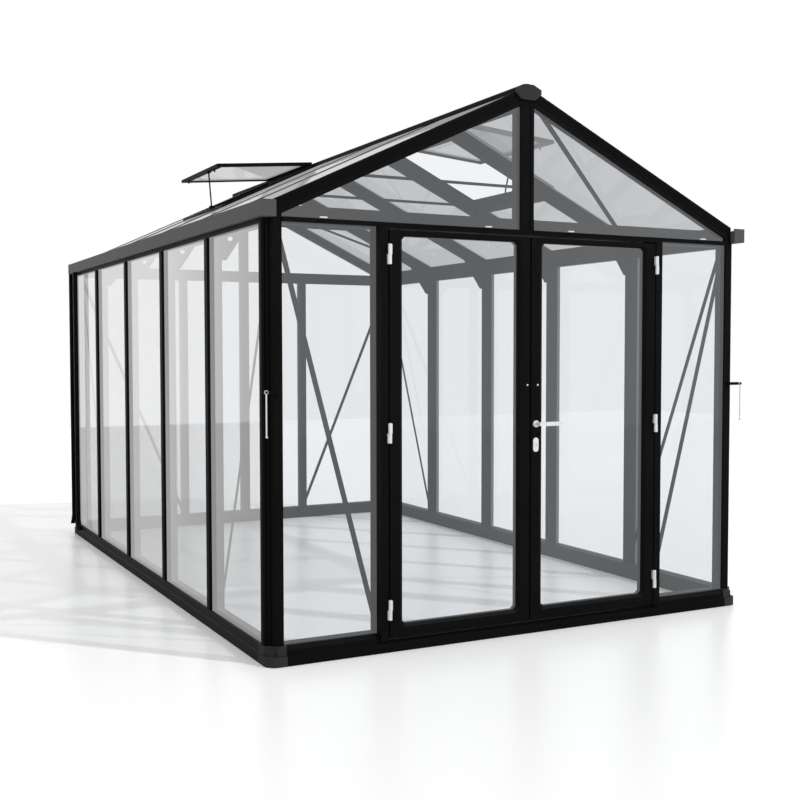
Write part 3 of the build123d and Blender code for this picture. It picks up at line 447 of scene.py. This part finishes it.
class Palette:
    """Every finish of the greenhouse, built once."""

    def __init__(self) -> None:
        """Build the finishes."""
        self.black = PowderCoat(
            "black_powder_coat",
            colour=(0.0036, 0.0036, 0.0039),
            dust=(0.0052, 0.0052, 0.0055),
        ).build()
        self.grey = PowderCoat(
            "grey_powder_coat",
            colour=(0.085, 0.085, 0.087),
            dust=(0.1, 0.1, 0.102),
        ).build()
        self.casting = PowderCoat(
            "casting_coat",
            colour=(0.03, 0.03, 0.032),
            dust=(0.05, 0.05, 0.052),
        ).build()
        # Base side rails: a lighter copy of the black paint, painted light that stands in for the brighter
        # lit tops of the rails.
        self.lit_sill = PowderCoat(
            "lit_sill_coat",
            colour=(0.014, 0.014, 0.0145),
            dust=(0.02, 0.02, 0.0205),
        ).build()
        self.bright = BrightMetal("satin_silver", colour=(0.88, 0.885, 0.89)).build()
        self.glass = Pane(
            "wall_glass",
            tint=(0.955, 0.961, 0.966),
            tint_deep=(0.942, 0.949, 0.957),
        ).build()
        self.roof_glass = Pane(
            "roof_glass",
            tint=(0.775, 0.78, 0.785),
            tint_deep=(0.76, 0.765, 0.772),
            # Painted glow of the roof panes: a dimmer emission veil over a larger share.
            painted_veil=(0.45, 0.455, 0.46),
            painted_veil_share=0.12,
            mirror_gain=3.5,
        ).build()
        self.white = Plastic("white_plastic", colour=(0.82, 0.82, 0.81)).build()
        # Black rubber of the seals, also used for the lock's painted keyway shade.
        self.rubber = Plastic("black_rubber_and_shade", colour=(0.012, 0.012, 0.013), roughness=0.65).build()

    def for_node(self, node: str, slot: str) -> bpy.types.Material:
        """Choose the finish of a CAD node.

        Args:
            node: Name of the node.
            slot: Its material slot in the record.

        Returns:
            The material.
        """
        if slot == Slot.GLASS.value:
            return self.roof_glass if "roof" in node or "vent" in node else self.glass
        if node == "hook_brackets":
            return self.black
        if slot == Slot.FITTINGS.value:
            return self.bright
        if node in ("base_corner_castings", "ridge_end_caps"):
            return self.casting
        # The base side rails take the lighter copy of the black paint, painted light.
        if node == "base_side_rails":
            return self.lit_sill
        if slot == Slot.TRIM.value:
            return self.grey
        return self.black


class Piece:
    """A new Blender piece built with bmesh operators and carried by a body."""

    bevel_segments: int = 2
    side_corners: int = 4
    dome_segments: int = 14
    dome_rings: int = 8

    def __init__(self, name: str, body: str, material: bpy.types.Material, slot: Slot) -> None:
        """Start an empty piece.

        Args:
            name: Name of the object.
            body: Body of the record that carries it.
            material: Its finish.
            slot: The record's slot; it is kept but not used.
        """
        self.name = name
        self.body = body
        self.material = material
        self.slot = slot
        self.mesh = bmesh.new()

    def box(self, centre: Point, size: Point, bevel: float = 0.0) -> None:
        """Add a box, with rounded edges where a radius is given.

        Args:
            centre: Middle of the box in metres.
            size: Full size along each axis.
            bevel: Edge radius.
        """
        place = Matrix.Translation(centre) @ Matrix.Diagonal((*size, 1.0))
        made = bmesh.ops.create_cube(self.mesh, size=1.0, matrix=place)
        if bevel:
            edges = list({edge for vert in made["verts"] for edge in vert.link_edges})
            self.soften(edges, bevel)

    def soften(self, edges: Sequence[bmesh.types.BMEdge], width: float) -> None:
        """Round some edges.

        Args:
            edges: Edges to round.
            width: Radius in metres.
        """
        bmesh.ops.bevel(
            self.mesh,
            geom=list(edges),
            offset=width,
            offset_type="OFFSET",
            affect="EDGES",
            segments=self.bevel_segments,
            profile=0.5,
            material=-1,
            clamp_overlap=True,
        )

    def rod(self, start: Point, end: Point, radius: float, segments: int, bevel: float) -> None:
        """Add a round rod with soft ends between two points.

        Args:
            start: First end in metres.
            end: Other end.
            radius: Radius of the rod.
            segments: Facets round it.
            bevel: Radius of its end edges.
        """
        a, b = Vector(start), Vector(end)
        along = b - a
        turn = along.to_track_quat("Z", "Y").to_matrix().to_4x4()
        made = bmesh.ops.create_cone(
            self.mesh,
            cap_ends=True,
            segments=segments,
            radius1=radius,
            radius2=radius,
            depth=along.length,
            matrix=Matrix.Translation((a + b) / 2) @ turn,
        )
        edges = {edge for vert in made["verts"] for edge in vert.link_edges}
        rims = [
            edge
            for edge in edges
            if any(len(face.verts) > self.side_corners for face in edge.link_faces)
        ]
        self.soften(rims, bevel)

    def dome(self, centre: Point, radius: float, squash: float, axis: Point) -> None:
        """Add a low round head.

        Args:
            centre: Middle of its seat.
            radius: Radius of the head.
            squash: Height as a share of the radius.
            axis: Direction that the head faces.
        """
        turn = Vector(axis).to_track_quat("Z", "Y").to_matrix().to_4x4()
        bmesh.ops.create_uvsphere(
            self.mesh,
            u_segments=self.dome_segments,
            v_segments=self.dome_rings,
            radius=radius,
            matrix=Matrix.Translation(centre) @ turn @ Matrix.Diagonal((1.0, 1.0, squash, 1.0)),
        )

    def finish(self, smooth: bool = False) -> None:
        """Make the object, give it its finish and let its body carry it.

        Args:
            smooth: Shade its faces smoothly.
        """
        data = bpy.data.meshes.new(self.name)
        bmesh.ops.recalc_face_normals(self.mesh, faces=self.mesh.faces)
        self.mesh.to_mesh(data)
        self.mesh.free()
        data.materials.append(self.material)
        if smooth:
            data.polygons.foreach_set("use_smooth", [True] * len(data.polygons))
        made = bpy.data.objects.new(self.name, data)
        bpy.context.scene.collection.objects.link(made)
        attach(made, self.body)


@dataclass(frozen=True)
class FrameFinish:
    """Gives every CAD node its finish."""

    palette: Palette

    def build(self) -> None:
        """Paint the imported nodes."""
        slots = {entry["node"]: entry["material_slot"] for entry in frame["record"]["subparts"]}
        for name, node in frame["nodes"].items():
            node.data.materials.clear()
            node.data.materials.append(self.palette.for_node(name, slots[name]))
        log.info("painted %d nodes", len(slots))


@dataclass(frozen=True)
class TieBeamClips:
    """White clips that stand on the front tie beam's outer cap."""

    palette: Palette
    places: tuple[float, ...] = (-1.12, -0.245, 0.245, 1.12)
    width: float = 0.036
    height: float = 0.006
    depth: float = 0.012
    cap_top: float = 2.027
    seat: float = 0.0002
    corner: float = 0.0015

    def build(self) -> None:
        """Build the clips on the cap's upper edge."""
        low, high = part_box("front_tie_beam")
        piece = Piece("tie_beam_clips", HOUSE, self.palette.white, Slot.FITTINGS)
        for x in self.places:
            centre = (x, low.y + self.depth / 2, self.cap_top + self.seat + self.height / 2)
            piece.box(centre, (self.width, self.depth, self.height), self.corner)
        piece.finish()
        log.info("tie beam clips within %.3f to %.3f m", low.x, high.x)


@dataclass(frozen=True)
class HingeTrim:
    """Rounded caps on the hinge barrels of both leaves."""

    palette: Palette
    cap_squash: float = 0.35
    cap_share: float = 0.98
    barrel_radius: float = 0.009
    spacing: float = 0.836
    knuckles: int = 3

    def build(self) -> None:
        """Build the caps of both leaves."""
        for body, node in ((LEFT_LEAF, "left_door_hinges"), (RIGHT_LEAF, "right_door_hinges")):
            self.cap(body, node)

    def cap(self, body: str, node: str) -> None:
        """Cap one leaf's upper knuckles.

        Args:
            body: Body that carries them.
            node: CAD node of the knuckles.
        """
        low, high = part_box(node)
        axis_x = high.x - self.barrel_radius if low.x > 0 else low.x + self.barrel_radius
        piece = Piece(f"{node}_caps", body, self.palette.bright, Slot.FITTINGS)
        for row in range(self.knuckles):
            top = high.z - row * self.spacing
            place = (axis_x, low.y + self.barrel_radius, top)
            piece.dome(place, self.barrel_radius * self.cap_share, self.cap_squash, (0, 0, 1))
        piece.finish(smooth=True)
        log.info("hinge caps of %s up to %.3f m", node, high.z)


@dataclass(frozen=True)
class DoorTrim:
    """Glazing seals, a lock cylinder and the small white screw caps on the leaves."""

    palette: Palette
    seal: float = 0.004
    seal_inset: float = 0.008
    seal_corner: float = 0.001
    screw_height: float = 1.255
    screw_radius: float = 0.005
    screw_squash: float = 0.5
    screw_places: tuple[tuple[str, float], ...] = ((LEFT_LEAF, -0.018), (RIGHT_LEAF, 0.043))
    lock_lift: float = 0.036
    lock_seat: float = 0.0002
    lock_proud: float = 0.003
    lock_radius: float = 0.0045
    lock_segments: int = 20
    lock_corner: float = 0.0005
    # Painted shade of the keyway: a thin black box just proud of the cylinder.
    keyway_shade_proud: float = 0.0032
    keyway_shade_size: Point = (0.0012, 0.0006, 0.006)

    def build(self) -> None:
        """Build the leaves' small pieces."""
        self.seals(LEFT_LEAF, "left_door_glass")
        self.seals(RIGHT_LEAF, "right_door_glass")
        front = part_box("right_door_frame")[0].y
        self.screws(front)
        self.lock(front)

    def screws(self, front: float) -> None:
        """Set one white cap on each leaf.

        Args:
            front: Front face of the leaves.
        """
        for body, x in self.screw_places:
            piece = Piece(f"{body}_screw_cap", body, self.palette.white, Slot.FITTINGS)
            piece.dome((x, front, self.screw_height), self.screw_radius, self.screw_squash, (0, -1, 0))
            piece.finish(smooth=True)

    def lock(self, front: float) -> None:
        """Set the cylinder in the lock plate, with a small black box on its face as painted shade for the
        keyway.

        Args:
            front: Front face of the leaves.
        """
        low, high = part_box("handle_plates")
        x = (low.x + high.x) / 2
        z = low.z + self.lock_lift
        cylinder = Piece("lock_cylinder", RIGHT_LEAF, self.palette.bright, Slot.FITTINGS)
        cylinder.rod(
            (x, front - self.lock_seat, z),
            (x, front - self.lock_proud, z),
            self.lock_radius,
            self.lock_segments,
            self.lock_corner,
        )
        cylinder.finish()
        # Painted shade: a thin black box stands where the keyway's hollow is dark.
        keyway_shade = Piece("lock_keyway_shade", RIGHT_LEAF, self.palette.rubber, Slot.FRAME)
        keyway_shade.box((x, front - self.keyway_shade_proud, z), self.keyway_shade_size)
        keyway_shade.finish()
        log.info("lock at %.3f m", z)

    def seals(self, body: str, node: str) -> None:
        """Lay a thin seal round one pane, on its outer face.

        Args:
            body: Leaf that carries it.
            node: CAD node of the pane.
        """
        low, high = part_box(node)
        y = low.y - self.seal / 2
        x0, x1 = low.x + self.seal_inset, high.x - self.seal_inset
        z0, z1 = low.z + self.seal_inset, high.z - self.seal_inset
        piece = Piece(f"{node}_seal", body, self.palette.rubber, Slot.FRAME)
        for x in (x0 - self.seal / 2, x1 + self.seal / 2):
            piece.box((x, y, (z0 + z1) / 2), (self.seal, self.seal, z1 - z0), self.seal_corner)
        for z in (z0 - self.seal / 2, z1 + self.seal / 2):
            piece.box(((x0 + x1) / 2, y, z), (x1 - x0, self.seal, self.seal), self.seal_corner)
        piece.finish()
        log.info("seal of %s", node)


@dataclass(frozen=True)
class FrameBolts:
    """Small bolt heads on the gussets and at the wall bars' feet."""

    palette: Palette
    radius: float = 0.005
    squash: float = 0.4
    gusset_bolts: tuple[tuple[float, float], ...] = ((1.298, 1.925), (1.19, 2.075))
    plate: float = 0.004
    foot_spread: float = 0.013
    foot_rise: float = 0.03
    rows: int = 4

    def build(self) -> None:
        """Build the bolt heads."""
        piece = Piece("frame_bolts", HOUSE, self.palette.grey, Slot.TRIM)
        low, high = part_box("eave_gussets")
        first = low.y
        last = high.y - self.plate
        for side in Side:
            for y in self.row_places(first, last):
                for x, z in self.gusset_bolts:
                    piece.dome((side.value * x, y, z), self.radius, self.squash, (0, -1, 0))
        self.feet(piece, "left_wall_bars", first, last)
        self.feet(piece, "right_wall_bars", first, last)
        piece.finish(smooth=True)
        log.info("gusset bolts in %d rows", self.rows)

    def row_places(self, first: float, last: float) -> list[float]:
        """Space the rows evenly along the house.

        Args:
            first: Place of the first row.
            last: Place of the last row.

        Returns:
            Every row's place.
        """
        return [first + row * (last - first) / (self.rows - 1) for row in range(self.rows)]

    def feet(self, piece: Piece, node: str, first: float, last: float) -> None:
        """Set bolt heads on the inner faces at the feet of one wall's bars.

        Args:
            piece: Piece that takes the heads.
            node: CAD node of the wall's bars.
            first: Front of the first bar's gusset plate.
            last: Front of the last bar's gusset plate.
        """
        low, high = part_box(node)
        inner_x, inward = (high.x, 1) if high.x < 0 else (low.x, -1)
        for y in self.row_places(first + self.plate / 2, last + self.plate / 2):
            for shift in (-self.foot_spread, self.foot_spread):
                place = (inner_x, y + shift, low.z + self.foot_rise)
                piece.dome(place, self.radius, self.squash, (inward, 0, 0))


@dataclass(frozen=True)
class Studio:
    """Pale floor, plain soft light, white surroundings and the photograph's camera."""

    position: Point = (-3.1641, -6.8791, 1.4288)
    turn_deg: float = 27.2845
    pitch_deg: float = -2.5203
    roll_deg: float = -0.0582
    focal_px: float = 1127.59
    image_px: float = 800.0
    sensor_mm: float = 36.0
    camera_reach: float = 400.0
    floor_size: float = 29.0
    floor_drop: float = 0.001
    floor_roughness: float = 0.28
    floor_specular: float = 0.35
    floor_colour: Colour = (0.95, 0.952, 0.955)
    floor_lift: float = 0.12
    floor_mirrored: float = 0.55
    cloud_scale: float = 0.35
    cloud_detail: float = 2.0
    cloud_gain: float = 1.02
    light_strength: float = 0.72
    white_strength: float = 1.0
    sun_strength: float = 1.3
    sun_way: Point = (-0.67, 0.74, -1.0)
    sun_angle_deg: float = 1.5

    def build(self) -> None:
        """Build the floor, light and camera."""
        self.floor()
        self.world()
        self.lights()
        self.camera()

    def floor(self) -> None:
        """Lay a wide pale floor just under the base."""
        data = bpy.data.meshes.new("studio_floor")
        mesh = bmesh.new()
        bmesh.ops.create_grid(mesh, x_segments=2, y_segments=2, size=self.floor_size / 2)
        mesh.to_mesh(data)
        mesh.free()
        made = bpy.data.objects.new("studio_floor", data)
        made.location.z = -self.floor_drop
        bpy.context.scene.collection.objects.link(made)
        data.materials.append(self.floor_finish())

    def floor_finish(self) -> bpy.types.Material:
        """Make the floor pale, a little brighter to the camera and darker in mirrors.

        Returns:
            The floor's material.
        """
        tree = NodeTree("studio_floor")
        shader = tree.add("ShaderNodeBsdfPrincipled", Roughness=self.floor_roughness)
        shader.inputs["Specular IOR Level"].default_value = self.floor_specular
        clouds = tree.noise(self.cloud_scale, self.cloud_detail)
        brighter = tuple(min(1.0, channel * self.cloud_gain) for channel in self.floor_colour)
        tree.link(tree.ramp(clouds, self.floor_colour, brighter), shader.inputs["Base Color"])
        lift = tree.add("ShaderNodeEmission", Color=WHITE, Strength=self.floor_lift)
        lifted = tree.add("ShaderNodeAddShader")
        tree.link(shader.outputs["BSDF"], lifted.inputs[0])
        tree.link(lift.outputs["Emission"], lifted.inputs[1])
        path = tree.add("ShaderNodeLightPath")
        mirrored = tree.math("MULTIPLY", path.outputs["Is Glossy Ray"], self.floor_mirrored)
        dimmed = tree.add("ShaderNodeMixShader")
        tree.link(mirrored, dimmed.inputs["Fac"])
        tree.link(shader.outputs["BSDF"], dimmed.inputs[1])
        seen = path.outputs["Is Camera Ray"]
        return tree.surface(tree.mix(seen, dimmed.outputs["Shader"], lifted.outputs["Shader"]))

    def world(self) -> None:
        """Surround the scene with even light, and show it white to the camera and in mirrors."""
        world = bpy.data.worlds.new("studio_world")
        world.use_nodes = True
        nodes, links = world.node_tree.nodes, world.node_tree.links
        nodes.clear()
        output = nodes.new("ShaderNodeOutputWorld")
        mix = nodes.new("ShaderNodeMixShader")
        soft = nodes.new("ShaderNodeBackground")
        white = nodes.new("ShaderNodeBackground")
        for background, strength in ((soft, self.light_strength), (white, self.white_strength)):
            background.inputs["Color"].default_value = WHITE
            background.inputs["Strength"].default_value = strength
        path = nodes.new("ShaderNodeLightPath")
        seen = nodes.new("ShaderNodeMath")
        seen.operation = "MAXIMUM"
        links.new(path.outputs["Is Camera Ray"], seen.inputs[0])
        links.new(path.outputs["Is Glossy Ray"], seen.inputs[1])
        links.new(seen.outputs["Value"], mix.inputs["Fac"])
        links.new(soft.outputs["Background"], mix.inputs[1])
        links.new(white.outputs["Background"], mix.inputs[2])
        links.new(mix.outputs["Shader"], output.inputs["Surface"])
        bpy.context.scene.world = world

    def lights(self) -> None:
        """Light the house from the front right, as the photograph's shadows show."""
        light = bpy.data.lights.new("soft_key", "SUN")
        light.energy = self.sun_strength
        light.angle = math.radians(self.sun_angle_deg)
        made = bpy.data.objects.new("soft_key", light)
        made.rotation_mode = "QUATERNION"
        made.rotation_quaternion = Vector(self.sun_way).to_track_quat("-Z", "Y")
        bpy.context.scene.collection.objects.link(made)

    def camera(self) -> None:
        """Place the photograph's camera and make it the scene's."""
        yaw, pitch, roll = (math.radians(a) for a in (self.turn_deg, self.pitch_deg, self.roll_deg))
        ahead = Vector((
            math.sin(yaw) * math.cos(pitch),
            math.cos(yaw) * math.cos(pitch),
            math.sin(pitch),
        ))
        right = Vector((math.cos(yaw), -math.sin(yaw), 0.0))
        up = right.cross(ahead)
        across = right * math.cos(roll) + up * math.sin(roll)
        above = up * math.cos(roll) - right * math.sin(roll)
        turn = Matrix((across, above, -ahead)).transposed()
        data = bpy.data.cameras.new("photo_camera")
        data.sensor_width = self.sensor_mm
        data.lens = self.focal_px / self.image_px * self.sensor_mm
        data.clip_end = self.camera_reach
        made = bpy.data.objects.new("photo_camera", data)
        made.matrix_world = Matrix.Translation(self.position) @ turn.to_4x4()
        bpy.context.scene.collection.objects.link(made)
        bpy.context.scene.camera = made
        bpy.context.scene.view_settings.view_transform = "Standard"


def main() -> None:
    """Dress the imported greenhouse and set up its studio."""
    logging.basicConfig(level=logging.INFO, format="%(name)s: %(message)s")
    palette = Palette()
    for assembly in (
        FrameFinish(palette),
        TieBeamClips(palette),
        HingeTrim(palette),
        DoorTrim(palette),
        FrameBolts(palette),
        Studio(),
    ):
        assembly.build()
        log.info("built %s", type(assembly).__name__)


if __name__ == "__main__":
    main()
